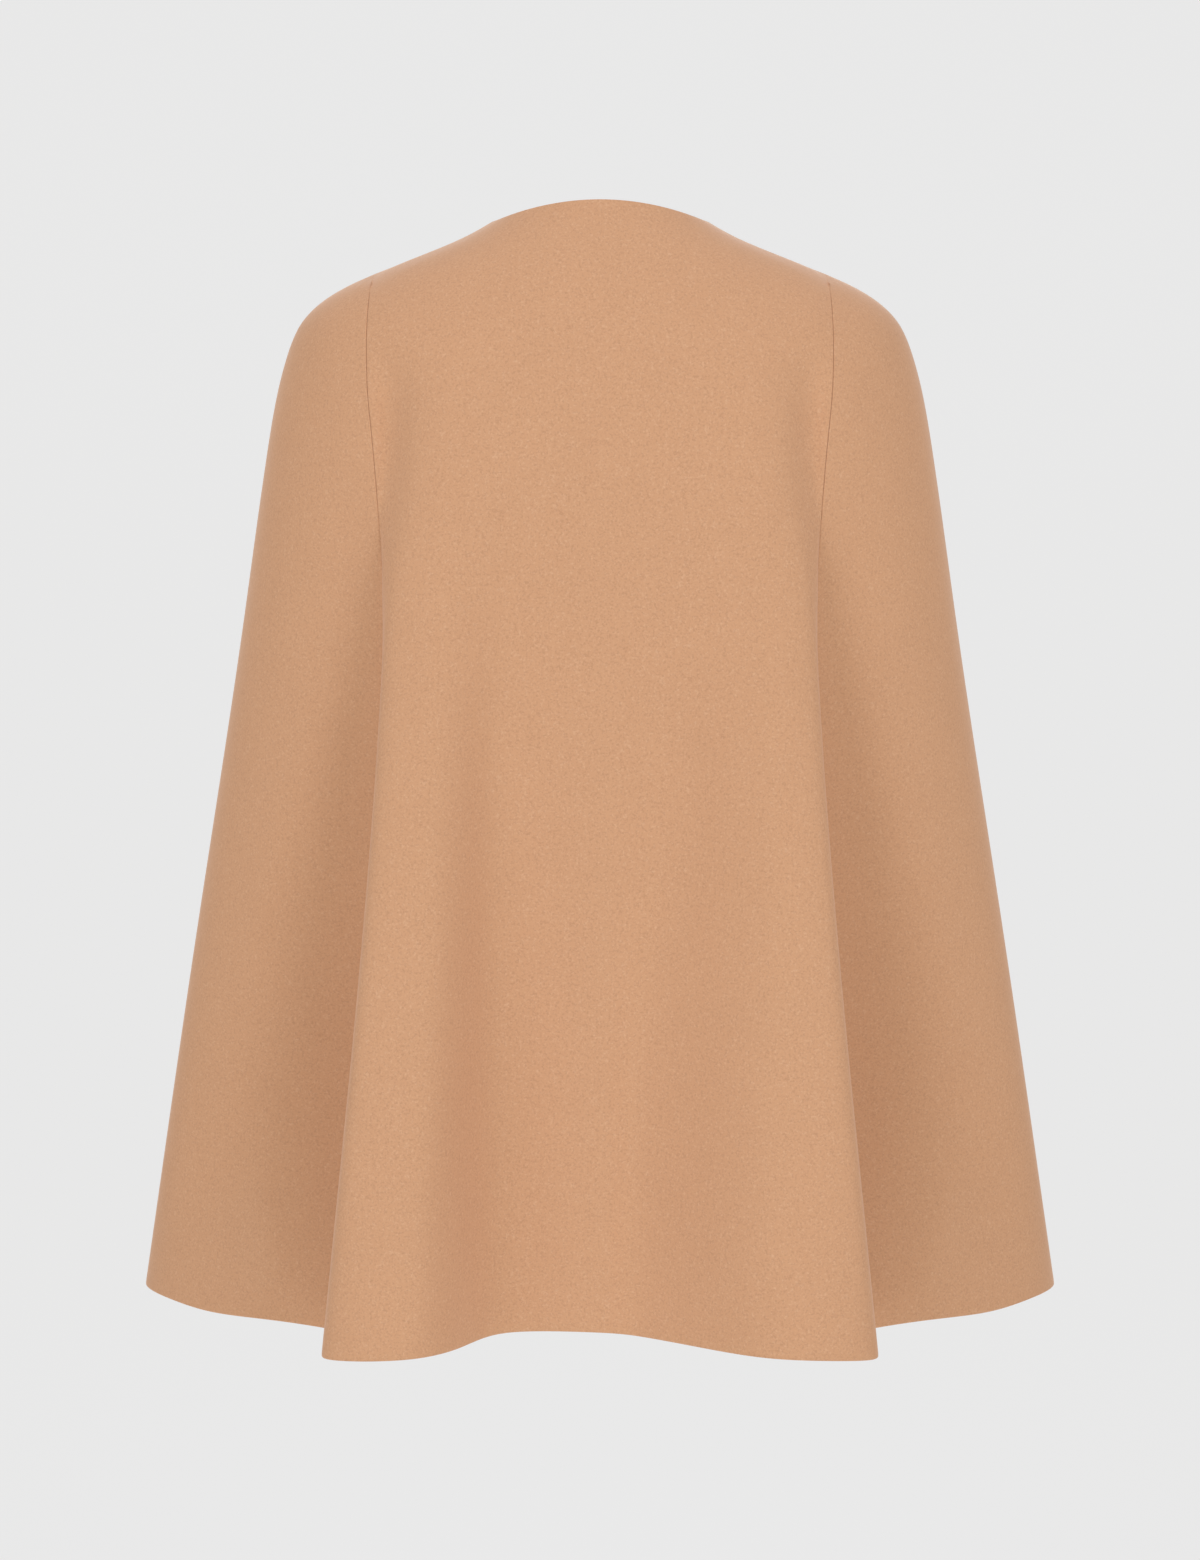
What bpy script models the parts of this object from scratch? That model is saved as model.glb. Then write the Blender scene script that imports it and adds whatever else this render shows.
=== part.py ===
"""Collarless wool cape coat, as worn: seven cut panels sewn along shoulder, back, front and overarm seams.

Sizes are in millimetres and the meshes in metres. The wearer faces -Y, with +Z up and +X to the left.
The origin lies between the two neck points of the shoulder seams, where the coat is held.
The first row of a table names its columns, and a drop is a depth below the neck points.
"""

import bpy
import numpy as np

for old in list(bpy.data.objects):
    bpy.data.objects.remove(old, do_unlink=True)

MM = 0.001
WALL = 2.5              # thickness of the coating cloth
SEAM_GAP = 0.3          # space between two pieces, at a seam and in the lap
MEETING_GAP = 1.45      # the gap where four panels meet on the shoulder, in seam gaps
LAP_HALF = 25.0         # how far each front reaches past the centre
EDGE_LOOP = 1.2         # distance from a cut edge to the first line of points
MOST_EDGE_LOOP = 0.4    # the same as a share of the first step inwards, where that step is short
MOST_MITRE = 1.7        # longest corner of the wall, in walls
SAME_POINT = 1e-6       # two points nearer than this are one

SHOULDER_SEAM_ENDS = 36.5   # drop at which back, front and side panels meet
FOLD_RAMP = (42.0, 140.0)   # drops between which the back folds form
SINK_RAMP = (75.0, 170.0)   # drops between which the back seam sinks behind its fold
FRONT_RAMP = (110.0, 260.0)
HEM_RAMP = (560.0, 782.0)   # drops between which a ring takes up the hem's curve

# Each ring is known by the drop of its side. Its centre back and centre front have drops of their own.
RINGS = (
    ("drop", "side_x", "side_y", "back_drop", "back_y", "front_drop", "front_y", "roundness"),
    (1.0, 78.2, -6, -14.6, 52.0, 85, -90, 2.10),
    (12.0, 97.9, -7, 2.5, 61.0, 97, -98, 2.15),
    (36.5, 161.0, -8, 38.0, 81.0, 125, -114, 2.30),
    (49.5, 188.5, -8, 57.0, 89.0, 139, -121, 2.35),
    (62.0, 205.5, -8, 75.0, 95.0, 153, -127, 2.40),
    (75.0, 216.0, -8, 92.0, 100.0, 168, -132, 2.40),
    (96.0, 224.5, -9, 114.0, 105.0, 188, -138, 2.40),
    (126.0, 232.5, -10, 144.0, 109.0, 214, -144, 2.40),
    (183.0, 242.5, -12, 196.0, 112.0, 255, -150, 2.30),
    (305.0, 261.5, -17, 310.0, 112.0, 345, -154, 2.10),
    (540.0, 301.0, -25, 541.0, 113.0, 550, -157, 1.90),
    (782.0, 339.5, -31, 782.0, 115.0, 782, -160, 1.80),
)
# Drops of the rings that become rows of points.
ROWS = (
    1, 6, 14, 25, 36.5, 43, 49.5, 56, 62, 68.5, 75, 85, 96, 110, 126, 150, 176, 205, 240, 280,
    325, 375, 430, 490, 550, 605, 655, 700, 740, 782,
)

# Lines that run down the panels, placed on the wearer's left.
BACK_SEAM = (
    ("drop", "x", "y"),
    (36.5, 161.0, 82),
    (75, 162.5, 82),
    (108, 161.5, 83),
    (138, 158.5, 84),
    (192, 154.5, 86),
    (243, 151.5, 85),
    (305, 150, 82),
    (450, 154, 72),
    (600, 160, 56),
    (650, 162, 53),
    (700, 164, 78),
    (735, 166, 91),
    (784, 168, 95),
)
BACK_FOLD = (
    ("drop", "crest_x", "crest_y", "edge_x", "edge_y", "foot_x", "foot_y"),
    (36.5, 112, 103, 134, 92, 148, 87),
    (100, 106, 104, 128, 96, 147, 82),
    (175, 108, 111, 131, 104, 149, 87),
    (239, 113, 117, 142, 108, 152, 93),
    (281, 117, 122, 147, 111, 151, 95),
    (399, 127, 136, 156, 126, 154, 99),
    (537, 139, 150, 168, 142, 163, 102),
    (676, 151, 164, 183, 152, 173, 100),
    (784, 160, 173, 195, 155, 182, 108),
)
# The flank is the slope from the middle of a panel up to the crest of its fold, and its toe dips a little.
LEFT_FLANK = (
    ("drop", "x", "half_width", "dip"),
    (36.5, 60, 26, 0),
    (281, 86, 20, 2.5),
    (470, 91, 21, 7),
    (606, 95, 23, 9),
    (784, 98, 26, 9),
)
RIGHT_FLANK = (
    ("drop", "x", "half_width", "dip"),
    (36.5, 60, 26, 0),
    (281, 75, 34, 1),
    (413, 81, 36, 3),
    (523, 74, 40, 3),
    (633, 70, 42, 3),
    (784, 70, 44, 3),
)
FRONT_SEAM = (
    ("drop", "x", "y"),
    (36.5, 161, -100),
    (49.5, 158, -100),
    (75, 153, -100),
    (108, 149, -100),
    (138, 147, -108),
    (192, 145, -118),
    (305, 148, -122),
    (450, 152, -124),
    (600, 158, -125),
    (784, 165, -124),
)
FRONT_FOLD = (
    ("drop", "crest_x", "crest_y", "edge_x", "edge_y", "foot_x", "foot_y"),
    (36.5, 104, -110, 135, -100, 148, -100),
    (192, 100, -142, 128, -130, 137, -124),
    (305, 108, -158, 138, -144, 143, -133),
    (450, 120, -174, 150, -158, 151, -141),
    (600, 134, -189, 164, -172, 161, -148),
    (784, 150, -203, 182, -184, 174, -154),
)
FRONT_FLANK = (
    ("drop", "x", "half_width", "dip"),
    (36.5, 60, 24, 0),
    (305, 70, 28, 0.5),
    (784, 88, 36, 5),
)
# Three lines down a flank: place in half widths from its middle, and share of the fold's rise.
FLANK_POINTS = (
    ("name", "place", "rise", "dip_share"),
    ("toe", -1, 0, 1),
    ("flank", 0, 0.46, 0),
    ("brow", 1, 0.97, 0),
)
# Points from a panel seam to the side: shares of the turn, of the seam's extra hang and of its sinking, and
# how much lower down they follow it.
WING_POINTS = (
    ("turn", "hang", "sink", "lag"),
    (0.22, 0.15, 0.75, 0),
    (0.45, 0.53, 0.42, 35),
    (0.68, 0.05, 0.14, 50),
    (0.86, 0.00, 0.00, 0),
)
# How far the hem hangs below its ring at each line.
HEMS = (
    ("half", "centre", "toe", "flank", "brow", "crest", "edge", "foot", "seam", "side"),
    ("back_left", -2.0, 0.8, 1.9, 0.5, 2.2, 4.8, 6.0, 6.5, 0.5),
    ("back_right", -2.0, 1.2, 1.2, 0.4, 1.8, 5.2, 6.0, 6.5, 0.5),
    ("front", -1.0, -1.0, 0.0, 1.0, 3.5, 5.0, 5.0, 5.0, 0.5),
)
HEM_OF = {name: dict(zip(HEMS[0][1:], hangs)) for name, *hangs in HEMS[1:]}

BACK_LINES = {
    "facing": 1, "lap": 0.0,
    "seam_line": BACK_SEAM, "fold_line": BACK_FOLD, "fold_ramp": FOLD_RAMP, "sink_ramp": SINK_RAMP,
}
BACK_LEFT = {**BACK_LINES, "flank_line": LEFT_FLANK, "hem": HEM_OF["back_left"]}
BACK_RIGHT = {**BACK_LINES, "flank_line": RIGHT_FLANK, "hem": HEM_OF["back_right"]}
FRONT_HALF = {
    "facing": -1, "lap": LAP_HALF, "flank_line": FRONT_FLANK, "hem": HEM_OF["front"],
    "seam_line": FRONT_SEAM, "fold_line": FRONT_FOLD, "fold_ramp": FRONT_RAMP, "sink_ramp": FRONT_RAMP,
}

# Columns of points between one station of half a ring and the next, from centre back to centre front.
BACK_SPANS = (3, 2, 2, 2, 3, 3, 3)
WING_SPANS = (2, 2, 2, 2, 2)
FRONT_SPANS = (3, 3, 3, 2, 2, 2, 1, 2)
OVERARM_FORWARD = 1     # columns from the side forward to the overarm seam, out of sight from behind
LIFT_COLUMNS = 3        # columns over which the upper front rises on to the lower one

CLOTH = (0.62, 0.38, 0.22)
CLOTH_ROUGHNESS = 0.9


def follow(table, drop):
    """The table's columns at a drop, by monotone cubic steps that never pass the rows' own values."""
    names, *rows = table
    rows = np.array(rows, float)
    drops, values = rows[:, 0], rows[:, 1:]
    span = np.diff(drops)[:, None]
    slope = np.diff(values, axis=0) / span
    before, after = 2 * span[1:] + span[:-1], span[1:] + 2 * span[:-1]
    same_way = slope[:-1] * slope[1:] > 0
    above = np.where(same_way, slope[:-1], 1)
    below = np.where(same_way, slope[1:], 1)
    inner = np.where(same_way, (before + after) / (before / above + after / below), 0)
    lean = np.vstack([slope[:1], inner, slope[-1:]])
    drop = np.clip(drop, drops[0], drops[-1])
    i = min(np.searchsorted(drops, drop, side="right"), len(drops) - 1) - 1
    s = (drop - drops[i]) / span[i]
    found = (
        (1 + 2 * s) * (1 - s) ** 2 * values[i] + s * (1 - s) ** 2 * span[i] * lean[i]
        + s * s * (3 - 2 * s) * values[i + 1] + s * s * (s - 1) * span[i] * lean[i + 1]
    )
    return dict(zip(names[1:], found))


def ease(value, low, high):
    """0 below low, 1 above high, and a smooth step between them."""
    t = min(max((value - low) / (high - low), 0.0), 1.0)
    return t * t * (3 - 2 * t)


class Ring:
    """One ring of the coat: the body's outline as a base, with the folds laid over it."""

    def __init__(self, drop):
        self.drop = drop
        self.yoke = drop <= SHOULDER_SEAM_ENDS
        self.sizes = follow(RINGS, drop)
        self.ends = {
            1: (self.sizes["back_drop"], self.sizes["back_y"]),
            -1: (self.sizes["front_drop"], self.sizes["front_y"]),
        }
        self.hem_share = ease(drop, *HEM_RAMP)

    def side_share(self, x):
        return min(abs(x) / self.sizes["side_x"], 1.0)

    def depth(self, x, facing):
        """y of the base outline at x, on the back (facing 1) or the front (facing -1)."""
        power, side_y = self.sizes["roundness"], self.sizes["side_y"]
        end_y = self.ends[facing][1]
        return side_y + (end_y - side_y) * (1 - self.side_share(x) ** power) ** (1 / power)

    def placed(self, x, y, facing, hang):
        """The point at x and y. A ring falls from its end's drop to its side's, and hangs at the hem."""
        end_drop = self.ends[facing][0]
        drop = end_drop + (self.drop - end_drop) * self.side_share(x) ** 2
        return x, y, -drop - self.hem_share * hang

    def half(self, facing, lap, hem, seam_line, fold_line, flank_line, fold_ramp, sink_ramp):
        """Stations from the centre line to the panel seam, or to the shoulder seam on a yoke ring."""
        seam, fold, flank = (follow(table, self.drop) for table in (seam_line, fold_line, flank_line))
        seam_x = self.sizes["side_x"] if self.yoke else seam["x"]
        stretch = (seam_x - lap) / (seam["x"] - lap)
        fold_share = ease(self.drop, *fold_ramp)
        sink_share = 0.0 if self.yoke else ease(self.drop, *sink_ramp)
        centre_y = self.ends[facing][1]

        def laid(x, y, hang):
            x = lap + (x - lap) * stretch
            base = self.depth(x, facing)
            return self.placed(x, base + fold_share * (y - base), facing, hang)

        stations = [self.placed(0.0, centre_y, facing, hem["centre"])]
        if lap:
            stations.append(self.placed(lap, self.depth(lap, facing), facing, hem["centre"]))
        for name, place, rise, dip_share in FLANK_POINTS[1:]:
            x = flank["x"] + place * flank["half_width"]
            y = centre_y + rise * (fold["crest_y"] - centre_y) - facing * dip_share * flank["dip"]
            stations.append(laid(x, y, hem[name]))
        for name in ("crest", "edge", "foot"):
            stations.append(laid(fold[name + "_x"], fold[name + "_y"], hem[name]))
        base = self.depth(seam_x, facing)
        stations.append(self.placed(seam_x, base + sink_share * (seam["y"] - base), facing, hem["seam"]))
        return stations

    def wing(self, half):
        """Stations from the panel seam to the side, turned round the base outline."""
        facing, hem, seam_line = half["facing"], half["hem"], half["seam_line"]
        side_x, power = self.sizes["side_x"], self.sizes["roundness"]
        sink_ramp = ease(self.drop, *half["sink_ramp"])
        seam_x = follow(seam_line, self.drop)["x"]
        whole = np.arccos(self.side_share(seam_x) ** (power / 2))
        stations = []
        for turn, hang_share, sink_share, lag in WING_POINTS[1:]:
            sink = self.depth(seam_x, facing) - follow(seam_line, self.drop - lag)["y"]
            x = side_x * np.cos(whole * (1 - turn)) ** (2 / power)
            y = self.depth(x, facing) - sink * sink_share * sink_ramp
            hang = hem["side"] + (hem["seam"] - hem["side"]) * hang_share
            stations.append(self.placed(x, y, facing, hang))
        return stations

    def half_loop(self, back_half):
        """Stations round one half, from centre back to centre front."""
        back, front = self.half(**back_half), self.half(**FRONT_HALF)
        side = self.placed(self.sizes["side_x"], self.sizes["side_y"], 1, back_half["hem"]["side"])
        if self.yoke:
            return back[:-1] + [side] + front[-2::-1]
        back += self.wing(back_half)
        front += self.wing(FRONT_HALF)
        return back + [side] + front[::-1]

    def points(self):
        """All points round the ring, from centre back past the left. A side of a yoke ring is one point."""
        left = np.array(self.half_loop(BACK_LEFT))
        right = np.array(self.half_loop(BACK_RIGHT)) * (-1, 1, 1)
        stations = np.vstack([left, right[-2:0:-1]])
        spans = BACK_SPANS + FRONT_SPANS if self.yoke else BACK_SPANS + WING_SPANS * 2 + FRONT_SPANS
        spans += spans[::-1]
        around = np.vstack([stations[-1:], stations, stations[:2]])
        points = np.vstack([spline(around[i:i + 4], count) for i, count in enumerate(spans)])
        repeats = np.ones(len(points), int)
        if self.yoke:
            repeats[[BACK_WIDE, -BACK_WIDE]] += 2 * WING_WIDE
        return np.repeat(points, repeats, axis=0)


def spline(four, count):
    """Points of a centripetal curve from the second of four stations towards the third."""
    p0, p1, p2, p3 = four
    t1, t2, t3 = np.cumsum(np.maximum(np.linalg.norm(np.diff(four, axis=0), axis=1), SAME_POINT) ** 0.5)
    t = (t1 + (t2 - t1) * np.arange(count) / count)[:, None]
    a1 = (t1 - t) / t1 * p0 + t / t1 * p1
    a2 = (t2 - t) / (t2 - t1) * p1 + (t - t1) / (t2 - t1) * p2
    a3 = (t3 - t) / (t3 - t2) * p2 + (t - t2) / (t3 - t2) * p3
    b1 = (t2 - t) / t2 * a1 + t / t2 * a2
    b2 = (t3 - t) / (t3 - t1) * a2 + (t - t1) / (t3 - t1) * a3
    return (t2 - t) / (t2 - t1) * b1 + (t - t1) / (t2 - t1) * b2


def length(vectors):
    return np.maximum(np.linalg.norm(vectors, axis=-1, keepdims=True), SAME_POINT)


def unit(vectors):
    return vectors / length(vectors)


def steps_round(ring):
    """For each point, the step from the last distinct one and the step to the next."""
    behind, ahead = np.zeros_like(ring), np.zeros_like(ring)
    for steps, way in ((ahead, 1), (behind, -1)):
        for i, point in enumerate(ring):
            j = i + way
            while np.allclose(ring[j % len(ring)], point, atol=SAME_POINT):
                j += way
            steps[i] = (ring[j % len(ring)] - point) * way
    return behind, ahead


def course(behind, ahead):
    """The direction through a point, weighted for uneven steps."""
    long, short = length(behind), length(ahead)
    return unit(ahead * long / short + behind * short / long)


BACK_WIDE, WING_WIDE, FRONT_WIDE = sum(BACK_SPANS), sum(WING_SPANS), sum(FRONT_SPANS)
BACK_LINE = BACK_WIDE
OVERARM_LINE = BACK_WIDE + WING_WIDE + OVERARM_FORWARD
FRONT_LINE = BACK_WIDE + 2 * WING_WIDE
LAP_LINE = FRONT_LINE + FRONT_WIDE - FRONT_SPANS[-1]
MEETING_ROW = ROWS.index(SHOULDER_SEAM_ENDS)

GRID = np.stack([Ring(drop).points() for drop in ROWS])
TURN = GRID.shape[1]
BEHIND, AHEAD = (np.stack(steps) for steps in zip(*map(steps_round, GRID)))
FALL = np.diff(GRID, axis=0)
DOWN = course(np.concatenate([FALL[:1], FALL]), np.concatenate([FALL, FALL[-1:]]))
OUTWARD = unit(np.cross(course(BEHIND, AHEAD), DOWN))
for line in (BACK_LINE, TURN - FRONT_LINE):
    shared = OUTWARD[MEETING_ROW, line:line + 2 * WING_WIDE + 1]
    shared[:] = unit(shared.mean(axis=0))
# The wall keeps its thickness round a corner because its offset grows with the turn between the two sides.
HALF_TURN = np.sqrt((1 + np.clip((unit(AHEAD) * unit(BEHIND)).sum(-1), -1, 1)) / 2)
OFFSET = WALL / np.maximum(HALF_TURN, 1 / MOST_MITRE)


def wall_layers(columns, top, sewn, lift):
    """The outer and inner grids of points of a panel, with its seam edges moved in by half the gap."""
    outward, down = OUTWARD[top:, columns], DOWN[top:, columns]
    outer = GRID[top:, columns] + outward * lift
    inner = outer - outward * OFFSET[top:, columns, None]
    for layer in (outer, inner):
        for edge in sewn:
            inwards = unit(np.cross(down[:, edge], outward[:, edge])) * (1 if edge == 0 else -1)
            step = np.full((len(layer), 1), SEAM_GAP / 2)
            if top < MEETING_ROW:
                step[MEETING_ROW - top] *= MEETING_GAP
            layer[:, edge] += inwards * step
    return outer, inner


def with_edge_lines(layer):
    """Adds a line of points just inside each of the four edges, so that it stays crisp when smoothed."""
    def between(edge, next_line):
        step = next_line - edge
        return edge + step * np.minimum(EDGE_LOOP / length(step), MOST_EDGE_LOOP)

    for _ in range(2):
        first, last = between(layer[0], layer[1]), between(layer[-1], layer[-2])
        layer = np.concatenate([layer[:1], first[None], layer[1:-1], last[None], layer[-1:]])
        layer = np.swapaxes(layer, 0, 1)
    return layer


def wall_faces(outer, inner):
    """Faces over both layers of numbered points and round the four edges."""
    rows, wide = outer.shape
    corners = []
    for r in range(rows - 1):
        for c in range(wide - 1):
            corners.append((outer[r, c], outer[r, c + 1], outer[r + 1, c + 1], outer[r + 1, c]))
            corners.append((inner[r, c], inner[r + 1, c], inner[r + 1, c + 1], inner[r, c + 1]))
        corners.append((outer[r, 0], outer[r + 1, 0], inner[r + 1, 0], inner[r, 0]))
        corners.append((outer[r, -1], inner[r, -1], inner[r + 1, -1], outer[r + 1, -1]))
    for c in range(wide - 1):
        corners.append((outer[0, c], inner[0, c], inner[0, c + 1], outer[0, c + 1]))
        corners.append((outer[-1, c], outer[-1, c + 1], inner[-1, c + 1], inner[-1, c]))
    faces = [[int(point) for i, point in enumerate(four) if point != four[i - 1]] for four in corners]
    return [face for face in faces if len(face) > 2]


def cloth(name):
    material = bpy.data.materials.new(name)
    material.use_nodes = True
    shader = material.node_tree.nodes["Principled BSDF"]
    shader.inputs["Base Color"].default_value = (*CLOTH, 1)
    shader.inputs["Roughness"].default_value = CLOTH_ROUGHNESS
    return material


def panel(name, first, last, top=0, sewn=(0, -1), lift=0.0):
    """A closed wall over the grid's columns first to last and its rows from top down.

    sewn names its edges that meet another panel, and lift is how far each column stands off the grid.
    A panel that starts below the yoke ends upwards in a point, a seam gap below the meeting.
    """
    columns = np.arange(first, last + 1) % TURN
    layers = wall_layers(columns, top, sewn, lift)
    if top:
        outer = layers[0]
        fall = unit(outer[1, len(columns) // 2] - outer[0, 0]) * SEAM_GAP
        for layer in layers:
            layer[0] = layer[0, 0] + fall
    layers = np.stack([with_edge_lines(layer) for layer in layers])
    if top:
        layers = np.delete(layers, 1, axis=1)
    numbers = np.arange(layers[..., 0].size).reshape(layers.shape[:-1])
    if top:
        numbers[:, 0] = numbers[:, 0, :1]
    used, numbers = np.unique(numbers, return_inverse=True)
    outer, inner = numbers.reshape(layers.shape[:-1])
    mesh = bpy.data.meshes.new(name)
    mesh.from_pydata(layers.reshape(-1, 3)[used] * MM, [], wall_faces(outer, inner))
    mesh.update()
    mesh.materials.append(cloth(name + "_cloth"))
    piece = bpy.data.objects.new(name, mesh)
    bpy.context.scene.collection.objects.link(piece)
    return piece


FULL_LIFT = WALL + SEAM_GAP
RISE = [
    [FULL_LIFT * ease(TURN - LAP_LINE + LIFT_COLUMNS - column, 0, LIFT_COLUMNS)]
    for column in range(LAP_LINE, TURN - FRONT_LINE + 1)
]

panel("back", TURN - BACK_LINE, TURN + BACK_LINE)
panel("side_back_left", BACK_LINE, OVERARM_LINE, top=MEETING_ROW)
panel("side_front_left", OVERARM_LINE, FRONT_LINE, top=MEETING_ROW)
panel("front_left", FRONT_LINE, TURN - LAP_LINE, sewn=(0,))
panel("front_right", LAP_LINE, TURN - FRONT_LINE, sewn=(-1,), lift=RISE)
panel("side_front_right", TURN - FRONT_LINE, TURN - OVERARM_LINE, top=MEETING_ROW)
panel("side_back_right", TURN - OVERARM_LINE, TURN - BACK_LINE, top=MEETING_ROW)
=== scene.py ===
"""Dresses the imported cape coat: seven panels of napped camel wool, seen from behind as it is worn."""

import math

import bmesh
import bpy
import numpy as np
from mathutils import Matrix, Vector
from mathutils.kdtree import KDTree


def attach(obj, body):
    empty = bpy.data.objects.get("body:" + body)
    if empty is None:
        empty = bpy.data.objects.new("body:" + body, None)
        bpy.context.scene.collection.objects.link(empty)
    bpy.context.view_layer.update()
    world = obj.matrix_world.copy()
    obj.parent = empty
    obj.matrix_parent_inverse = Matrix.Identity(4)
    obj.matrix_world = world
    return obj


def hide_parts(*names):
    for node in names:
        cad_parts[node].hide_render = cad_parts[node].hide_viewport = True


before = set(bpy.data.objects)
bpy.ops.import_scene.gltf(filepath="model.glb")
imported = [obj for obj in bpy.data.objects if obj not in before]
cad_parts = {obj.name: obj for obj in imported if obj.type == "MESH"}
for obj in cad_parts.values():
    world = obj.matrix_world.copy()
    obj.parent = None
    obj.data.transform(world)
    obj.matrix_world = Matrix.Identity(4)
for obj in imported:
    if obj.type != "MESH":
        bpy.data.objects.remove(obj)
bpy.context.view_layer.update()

# The back: one wide piece of camel wool coating, 2.5 mm thick, milled and brushed until a short nap hides its
# weave. It is cut flared from neck to hem, so that it falls in a long cone fold on each side, and its long
# edges are sewn to the side panels.
WOOL = (0.590, 0.322, 0.173)
WOOL_DARK = (0.44, 0.228, 0.120)
WOOL_PALE = (0.68, 0.42, 0.26)
FLECK = 0.5                        # how much of the dark and pale fibres shows
GRAIN_NOISE = (660, 2, 0.6)        # scale, detail and roughness of each noise
FIBRE_NOISE = (600, 2, 0.6)
CLUMP_NOISE = (380, 2, 0.5)
CLOUD_NOISE = (26, 3, 0.5)
DARK_RANGE = (0.46, 0.70)          # the part of its noise over which each tone comes in
PALE_RANGE = (0.50, 0.74)
CLOUD_RANGE, CLOUD_TONE = (0.35, 0.75), 0.06
GRAIN_HEIGHT, FIBRE_HEIGHT, CLUMP_HEIGHT = 0.4, 0.3, 0.25
CLUMP_RANGE, NAP_ROUGHNESS = (0.3, 0.7), (0.82, 0.98)
PAINTED_SHEEN = (0.72, 0.41, 0.26)     # painted sheen: the paler colour painted in where the cloth is seen along its face
PAINTED_SHEEN_BLEND = 0.12
NAP_STRENGTH, NAP_HEIGHT = 0.5, 0.0005
NAP_SPECULAR = 0.12
SHEEN, SHEEN_ROUGHNESS, SHEEN_TINT = 0.5, 0.35, (1.0, 0.84, 0.70, 1)


def new_group(name, inputs, outputs):
    group = bpy.data.node_groups.new(name, "ShaderNodeTree")
    for label, kind, value in inputs:
        socket = group.interface.new_socket(label, in_out="INPUT", socket_type=kind)
        socket.default_value = value
    for label, kind in outputs:
        group.interface.new_socket(label, in_out="OUTPUT", socket_type=kind)
    return group, group.nodes.new("NodeGroupInput"), group.nodes.new("NodeGroupOutput")


def mixed(nodes, link, factor, a, b):
    node = nodes.new("ShaderNodeMix")
    node.data_type = "RGBA"
    link(factor, node.inputs["Factor"])
    for value, socket in ((a, node.inputs["A"]), (b, node.inputs["B"])):
        if isinstance(value, tuple):
            socket.default_value = (*value, 1)
        else:
            link(value, socket)
    return node.outputs["Result"]


def napped_wool():
    """Colour, height and roughness of the milled cloth, from Object coordinates."""
    group, entry, leave = new_group(
        "napped_wool",
        [
            ("Base", "NodeSocketColor", (*WOOL, 1)),
            ("Dark", "NodeSocketColor", (*WOOL_DARK, 1)),
            ("Pale", "NodeSocketColor", (*WOOL_PALE, 1)),
            ("Fleck", "NodeSocketFloat", FLECK),
        ],
        [
            ("Color", "NodeSocketColor"),
            ("Height", "NodeSocketFloat"),
            ("Roughness", "NodeSocketFloat"),
        ],
    )
    nodes, link = group.nodes, group.links.new
    place = nodes.new("ShaderNodeTexCoord")

    def noise(scale, detail, roughness):
        texture = nodes.new("ShaderNodeTexNoise")
        texture.inputs["Scale"].default_value = scale
        texture.inputs["Detail"].default_value = detail
        texture.inputs["Roughness"].default_value = roughness
        link(place.outputs["Object"], texture.inputs["Vector"])
        return texture.outputs["Fac"]

    def spread(value, low, high, to_low=0.0, to_high=1.0):
        node = nodes.new("ShaderNodeMapRange")
        node.interpolation_type = "SMOOTHSTEP"
        node.inputs["From Min"].default_value = low
        node.inputs["From Max"].default_value = high
        node.inputs["To Min"].default_value = to_low
        node.inputs["To Max"].default_value = to_high
        link(value, node.inputs["Value"])
        return node.outputs["Result"]

    def joined(operation, a, b):
        node = nodes.new("ShaderNodeMath")
        node.operation = operation
        link(a, node.inputs[0])
        if isinstance(b, float):
            node.inputs[1].default_value = b
        else:
            link(b, node.inputs[1])
        return node.outputs[0]

    grain, fibres = noise(*GRAIN_NOISE), noise(*FIBRE_NOISE)
    clumps, clouds = noise(*CLUMP_NOISE), noise(*CLOUD_NOISE)
    dark = joined("MULTIPLY", spread(grain, *DARK_RANGE), entry.outputs["Fleck"])
    pale = joined("MULTIPLY", spread(fibres, *PALE_RANGE), entry.outputs["Fleck"])
    cloud = spread(clouds, *CLOUD_RANGE, to_high=CLOUD_TONE)
    colour = mixed(nodes, link, cloud, entry.outputs["Base"], entry.outputs["Dark"])
    colour = mixed(nodes, link, dark, colour, entry.outputs["Dark"])
    colour = mixed(nodes, link, pale, colour, entry.outputs["Pale"])
    link(colour, leave.inputs["Color"])
    nap = joined("ADD", joined("MULTIPLY", grain, GRAIN_HEIGHT), joined("MULTIPLY", fibres, FIBRE_HEIGHT))
    link(joined("ADD", nap, joined("MULTIPLY", clumps, CLUMP_HEIGHT)), leave.inputs["Height"])
    link(spread(clumps, *CLUMP_RANGE, *NAP_ROUGHNESS), leave.inputs["Roughness"])
    return group


WOOL_GROUP = napped_wool()


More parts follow.
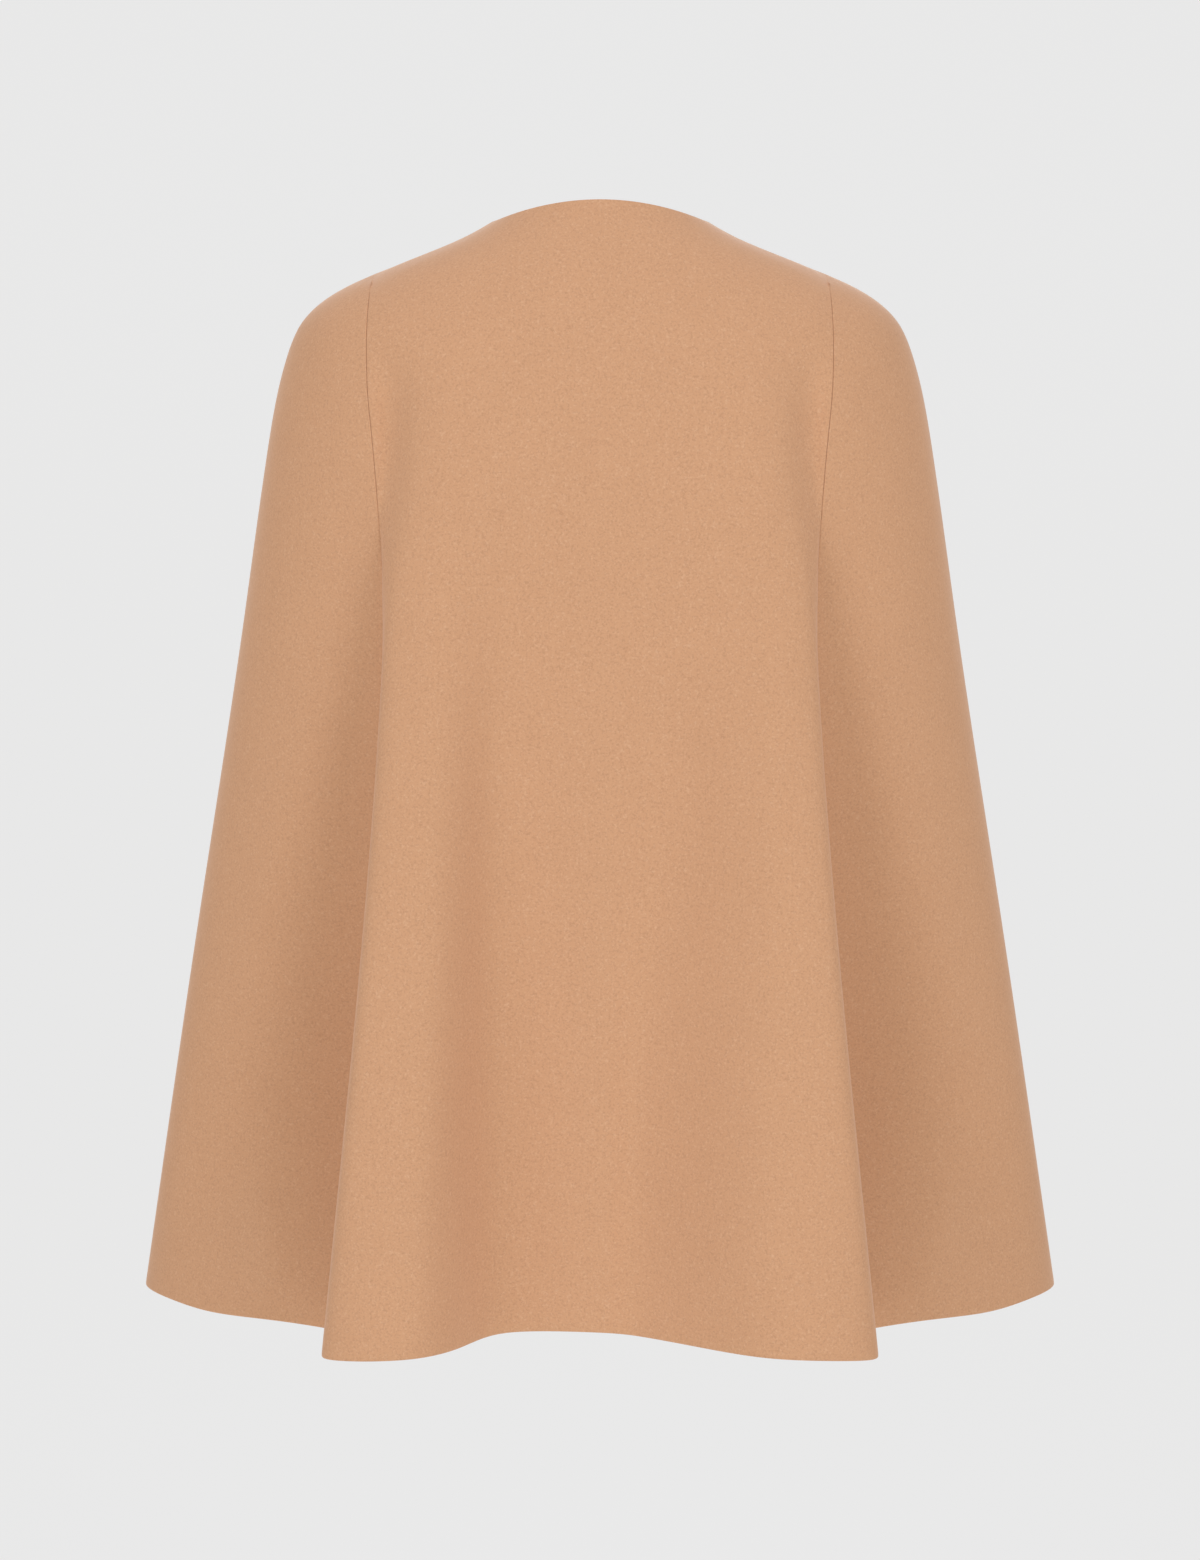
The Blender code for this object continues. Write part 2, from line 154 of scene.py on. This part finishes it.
def coating(name):
    """The cloth's material. Its nap stands up from the face, and its colour is painted paler where it is seen
    along the face: a painted sheen for the light that the nap catches.
    """
    material = bpy.data.materials.new(name)
    material.use_nodes = True
    nodes, link = material.node_tree.nodes, material.node_tree.links.new
    shader = nodes["Principled BSDF"]
    cloth = nodes.new("ShaderNodeGroup")
    cloth.node_tree = WOOL_GROUP
    # the painted sheen's mask: how far the cloth is seen along its face
    along = nodes.new("ShaderNodeLayerWeight")
    along.inputs["Blend"].default_value = PAINTED_SHEEN_BLEND
    bump = nodes.new("ShaderNodeBump")
    bump.inputs["Strength"].default_value = NAP_STRENGTH
    bump.inputs["Distance"].default_value = NAP_HEIGHT
    link(cloth.outputs["Height"], bump.inputs["Height"])
    link(bump.outputs["Normal"], shader.inputs["Normal"])
    # painted sheen: the colour turns paler where the cloth is seen edge-on
    colour = mixed(nodes, link, along.outputs["Facing"], cloth.outputs["Color"], PAINTED_SHEEN)
    link(colour, shader.inputs["Base Color"])
    link(cloth.outputs["Roughness"], shader.inputs["Roughness"])
    shader.inputs["Specular IOR Level"].default_value = NAP_SPECULAR
    shader.inputs["Sheen Weight"].default_value = SHEEN
    shader.inputs["Sheen Roughness"].default_value = SHEEN_ROUGHNESS
    shader.inputs["Sheen Tint"].default_value = SHEEN_TINT
    return material


MERGE_REACH = 0.00002           # repeated points of one solid
SEAM_REACH = 0.0006             # two points of different panels this near are sewn together
SEAM_FOLD = 0.22                # how tightly the cloth turns in at a seam, 1 for a seam that can't be seen
SEAM_FADE = (-0.052, -0.043)    # heights between which a seam fades out towards the shoulder
MEETING_REACH = 0.0018
MEETINGS = (                    # where four panels meet on the shoulder, on the outside and the inside
    (0.161, -0.008, -0.0365),
    (0.1599, -0.0077, -0.0388),
)
LAPPED = {"front_left", "front_right"}
SMOOTHING_LEVELS = 2


def points_of(node):
    """A copy of a panel's solid, with its repeated points merged and its tips drawn to the meeting points."""
    bm = bmesh.new()
    bm.from_mesh(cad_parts[node].data)
    bmesh.ops.remove_doubles(bm, verts=bm.verts, dist=MERGE_REACH)
    for vert in bm.verts:
        for x, y, z in MEETINGS:
            meeting = Vector((math.copysign(x, vert.co.x), y, z))
            if (vert.co - meeting).length < MEETING_REACH:
                vert.co = meeting
    bmesh.ops.remove_doubles(bm, verts=bm.verts, dist=MERGE_REACH)
    bm.verts.index_update()
    bm.verts.ensure_lookup_table()
    return bm


def seams_closed(panels):
    """Draws each point of a seam to the middle of those that it is sewn to, and returns the sewn points."""
    trees = {}
    for node, bm in panels.items():
        trees[node] = KDTree(len(bm.verts))
        for vert in bm.verts:
            trees[node].insert(vert.co, vert.index)
        trees[node].balance()
    middles = {}
    for node, bm in panels.items():
        for vert in bm.verts:
            sewn = [vert.co.copy()]
            for other, tree in trees.items():
                if other == node or {node, other} == LAPPED:
                    continue
                place, _, distance = tree.find(vert.co)
                if distance < SEAM_REACH:
                    sewn.append(place)
            if len(sewn) > 1:
                middles[node, vert.index] = sum(sewn, Vector()) / len(sewn)
    for (node, index), middle in middles.items():
        panels[node].verts[index].co = middle
    return set(middles)


# The faint creases between the large folds, in metres: a line down the cloth, how far it spreads to each side,
# how far it stands out or, below zero, sinks in, and the way that the cloth faces there.
BACKWARDS, LEFT_BACK, RIGHT_BACK = (0, 1, 0), (0.5, 0.87, 0), (-0.5, 0.87, 0)
FORWARDS, LEFT_FRONT, RIGHT_FRONT = (0, -1, 0), (0.5, -0.87, 0), (-0.5, -0.87, 0)
CREASES = (
    ("line", "spread", "height", "facing"),
    (((0.086, 0.120, -0.21), (0.083, 0.125, -0.39), (0.098, 0.130, -0.74)), 0.013, -0.0016, BACKWARDS),
    (((-0.068, 0.120, -0.25), (-0.070, 0.120, -0.45), (-0.061, 0.120, -0.72)), 0.016, -0.0009, BACKWARDS),
    (((0.060, 0.115, -0.30), (0.064, 0.115, -0.60)), 0.018, 0.0007, BACKWARDS),
    (((0.136, 0.090, -0.08), (0.141, 0.095, -0.23)), 0.017, -0.0015, BACKWARDS),
    (((-0.136, 0.090, -0.08), (-0.140, 0.095, -0.22)), 0.017, -0.0014, BACKWARDS),
    (((0.190, 0.075, -0.28), (0.236, 0.060, -0.44), (0.262, 0.045, -0.60)), 0.020, 0.0016, LEFT_BACK),
    (((-0.188, 0.075, -0.26), (-0.240, 0.060, -0.46), (-0.268, 0.045, -0.62)), 0.021, 0.0014, RIGHT_BACK),
    (((0.262, 0.040, -0.68), (0.212, 0.050, -0.76)), 0.014, 0.0022, LEFT_BACK),
    (((-0.266, 0.040, -0.68), (-0.210, 0.050, -0.77)), 0.015, 0.0020, RIGHT_BACK),
    (((0.245, -0.080, -0.30), (0.272, -0.085, -0.52), (0.280, -0.090, -0.72)), 0.020, -0.0018, LEFT_FRONT),
    (((-0.238, -0.085, -0.27), (-0.262, -0.090, -0.50), (-0.270, -0.095, -0.70)), 0.022, -0.0015, RIGHT_FRONT),
    (((0.075, -0.145, -0.26), (0.082, -0.165, -0.45), (0.088, -0.175, -0.70)), 0.015, -0.0018, FORWARDS),
    (((-0.070, -0.145, -0.30), (-0.076, -0.165, -0.48), (-0.080, -0.175, -0.74)), 0.017, -0.0014, FORWARDS),
)
CREASE_ENDS = 0.3      # share of a crease over which it dies away at each end
CREASE_DEPTH = 0.25    # how much a distance counts that runs through the cloth and not along its face


def creased(places):
    """The points moved by every crease: by its height on its line, and hardly at all two spreads away."""
    moved = places.copy()
    for line, spread, height, facing in CREASES[1:]:
        line, facing = np.array(line), np.array(facing)
        lengths = np.linalg.norm(np.diff(line, axis=0), axis=1)
        starts = np.concatenate([[0], np.cumsum(lengths)])
        nearest = np.full(len(places), np.inf)
        along = np.zeros(len(places))
        for start, end, length, before in zip(line, line[1:], lengths, starts):
            t = np.clip((places - start) @ (end - start) / length ** 2, 0, 1)
            offset = places - start - t[:, None] * (end - start)
            offset -= (1 - CREASE_DEPTH) * (offset @ facing)[:, None] * facing
            distance = np.linalg.norm(offset, axis=1)
            closer = distance < nearest
            nearest[closer] = distance[closer]
            along[closer] = (before + t[closer] * length) / starts[-1]
        rise = np.clip(np.minimum(along, 1 - along) / CREASE_ENDS, 0, 1)
        strength = height * rise * rise * (3 - 2 * rise) * np.exp(-(nearest / spread) ** 2)
        moved += strength[:, None] * facing
    return moved


panels = {node: points_of(node) for node in sorted(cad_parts)}
sewn_points = seams_closed(panels)


def sewn_panel(node, flat, area, rests_on=()):
    """The panel's wall with its triangles paired, smoothed, creased and dressed in the coating."""
    bm = panels[node]
    fold = bm.edges.layers.float.new("crease_edge")
    low, high = SEAM_FADE
    for edge in bm.edges:
        if all((node, vert.index) in sewn_points for vert in edge.verts):
            height = sum(vert.co.z for vert in edge.verts) / 2
            faded = min(max((height - low) / (high - low), 0), 1)
            edge[fold] = SEAM_FOLD + (1 - SEAM_FOLD) * faded
            edge.smooth = faded == 0
    bmesh.ops.join_triangles(
        bm, faces=bm.faces, angle_face_threshold=math.pi, angle_shape_threshold=math.pi, topology_influence=1.0,
    )
    mesh = bpy.data.meshes.new(node + "_cloth")
    bm.to_mesh(mesh)
    bm.free()
    piece = bpy.data.objects.new(node + "_cloth", mesh)
    bpy.context.scene.collection.objects.link(piece)
    bpy.ops.object.select_all(action="DESELECT")
    piece.select_set(True)
    bpy.context.view_layer.objects.active = piece
    smooth = piece.modifiers.new("smooth", "SUBSURF")
    smooth.levels = smooth.render_levels = SMOOTHING_LEVELS
    bpy.ops.object.modifier_apply(modifier=smooth.name)
    places = np.empty(len(piece.data.vertices) * 3)
    piece.data.vertices.foreach_get("co", places)
    piece.data.vertices.foreach_set("co", creased(places.reshape(-1, 3)).ravel())
    piece.data.update()
    bpy.ops.object.shade_smooth()
    piece.data.materials.append(coating(node + "_wool"))
    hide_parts(node)
    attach(piece, "root")


sewn_panel("back", flat=(0.591, 0.908), area=0.364)

# The four side panels: narrow gores of the same coating, one behind and one before each arm, cut to a point at
# the shoulder and flared to the hem. The two of a side are sewn together down the outside of the arm and hang
# from the long seams of the back and the front.
SIDE_BACK = {"flat": (0.230, 0.818), "area": 0.135}
SIDE_FRONT = {"flat": (0.201, 0.805), "area": 0.124}
for side in ("left", "right"):
    sewn_panel(f"side_back_{side}", **SIDE_BACK, rests_on=["back_cloth"])
    sewn_panel(f"side_front_{side}", **SIDE_FRONT, rests_on=[f"front_{side}_cloth"])

# The two fronts: the same coating, cut with a round neck and a plain edge. The right front laps 50 mm over the
# left, with its inner face resting on the other's outer face. Both are hidden in the photograph, so they are
# kept plain.
FRONT = {"flat": (0.291, 0.895), "area": 0.168}
sewn_panel("front_left", **FRONT)
sewn_panel("front_right", **FRONT, rests_on=["front_left_cloth"])

# The sweep: pale seamless paper, a floor that turns up into a wall. It is lit evenly in a real studio, and
# glows a little here, so that no horizon shows and the cloth is lit from below.
FLOOR_Z = -1.38
SWEEP = (
    ("y", "rise"),
    (4.0, 0),
    (-2.2, 0),
    (-2.75, 0.12),
    (-3.25, 0.45),
    (-3.6, 0.95),
    (-3.75, 1.6),
    (-3.78, 5.0),
)
SWEEP_HALF_WIDTH = 7
PAPER, PAPER_GLOW = (0.10, 0.10, 0.10, 1), 0.745
sweep_mesh = bpy.data.meshes.new("floor")
sweep_mesh.from_pydata(
    [(x, y, FLOOR_Z + rise) for y, rise in SWEEP[1:] for x in (-SWEEP_HALF_WIDTH, SWEEP_HALF_WIDTH)],
    [],
    [(2 * i, 2 * i + 2, 2 * i + 3, 2 * i + 1) for i in range(len(SWEEP) - 2)],
)
floor = bpy.data.objects.new("floor", sweep_mesh)
bpy.context.scene.collection.objects.link(floor)
bpy.ops.object.select_all(action="DESELECT")
floor.select_set(True)
bpy.context.view_layer.objects.active = floor
bend = floor.modifiers.new("bend", "SUBSURF")
bend.levels = bend.render_levels = 3
bpy.ops.object.modifier_apply(modifier=bend.name)
bpy.ops.object.shade_smooth()
paper = bpy.data.materials.new("pale_paper")
paper.use_nodes = True
paper_shader = paper.node_tree.nodes["Principled BSDF"]
paper_shader.inputs["Base Color"].default_value = PAPER
paper_shader.inputs["Roughness"].default_value = 1.0
paper_shader.inputs["Specular IOR Level"].default_value = 0.0
paper_shader.inputs["Emission Color"].default_value = (1, 1, 1, 1)
paper_shader.inputs["Emission Strength"].default_value = PAPER_GLOW
floor.data.materials.append(paper)

# The studio's light: soft boxes on stands by the camera, low and high on both sides, one hung over the
# shoulders, a weak one on the floor for what a white table throws back up, and the warm light of the room.
ROOM_LIGHT, ROOM_STRENGTH = (1.0, 0.88, 0.64, 1), 0.25
LIGHT_AIM = (0, 0, -0.4)
LIGHT_COLOUR = (0.95, 1.0, 1.14)

world = bpy.data.worlds.new("studio")
world.use_nodes = True
room = world.node_tree.nodes["Background"]
room.inputs["Color"].default_value = ROOM_LIGHT
room.inputs["Strength"].default_value = ROOM_STRENGTH
bpy.context.scene.world = world


def softbox(name, size, energy, place):
    light = bpy.data.lights.new(name, "AREA")
    light.shape = "RECTANGLE"
    light.size, light.size_y = size
    light.energy = energy
    light.color = LIGHT_COLOUR
    lamp = bpy.data.objects.new(name, light)
    bpy.context.scene.collection.objects.link(lamp)
    lamp.location = place
    lamp.rotation_euler = (Vector(LIGHT_AIM) - Vector(place)).to_track_quat("-Z", "Y").to_euler()


for side in (-1, 1):
    softbox("low_light", size=(1.2, 2.0), energy=18.2, place=(1.66 * side, 2.38, -0.1))
    softbox("high_light", size=(1.4, 1.4), energy=30.5, place=(1.9 * side, 1.7, 1.6))
softbox("shoulder_light", size=(2.0, 1.6), energy=15.5, place=(0, -0.7, 2.2))
softbox("floor_bounce", size=(1.0, 0.5), energy=2.3, place=(0, 1.1, -1.33))

# The camera, behind the coat and a little above its middle, on a tripod and looking slightly down.
CAMERA_PLACE = (0, 2.6, -0.07629)
CAMERA_DOWN = 7.103    # degrees below level
camera_data = bpy.data.cameras.new("camera")
camera_data.sensor_fit = "VERTICAL"
camera_data.sensor_height = 36
camera_data.lens = 83.33
camera = bpy.data.objects.new("camera", camera_data)
camera.location = CAMERA_PLACE
camera.rotation_euler = (math.radians(90 - CAMERA_DOWN), 0, math.pi)
bpy.context.scene.collection.objects.link(camera)
bpy.context.scene.camera = camera
bpy.context.scene.view_settings.view_transform = "Standard"
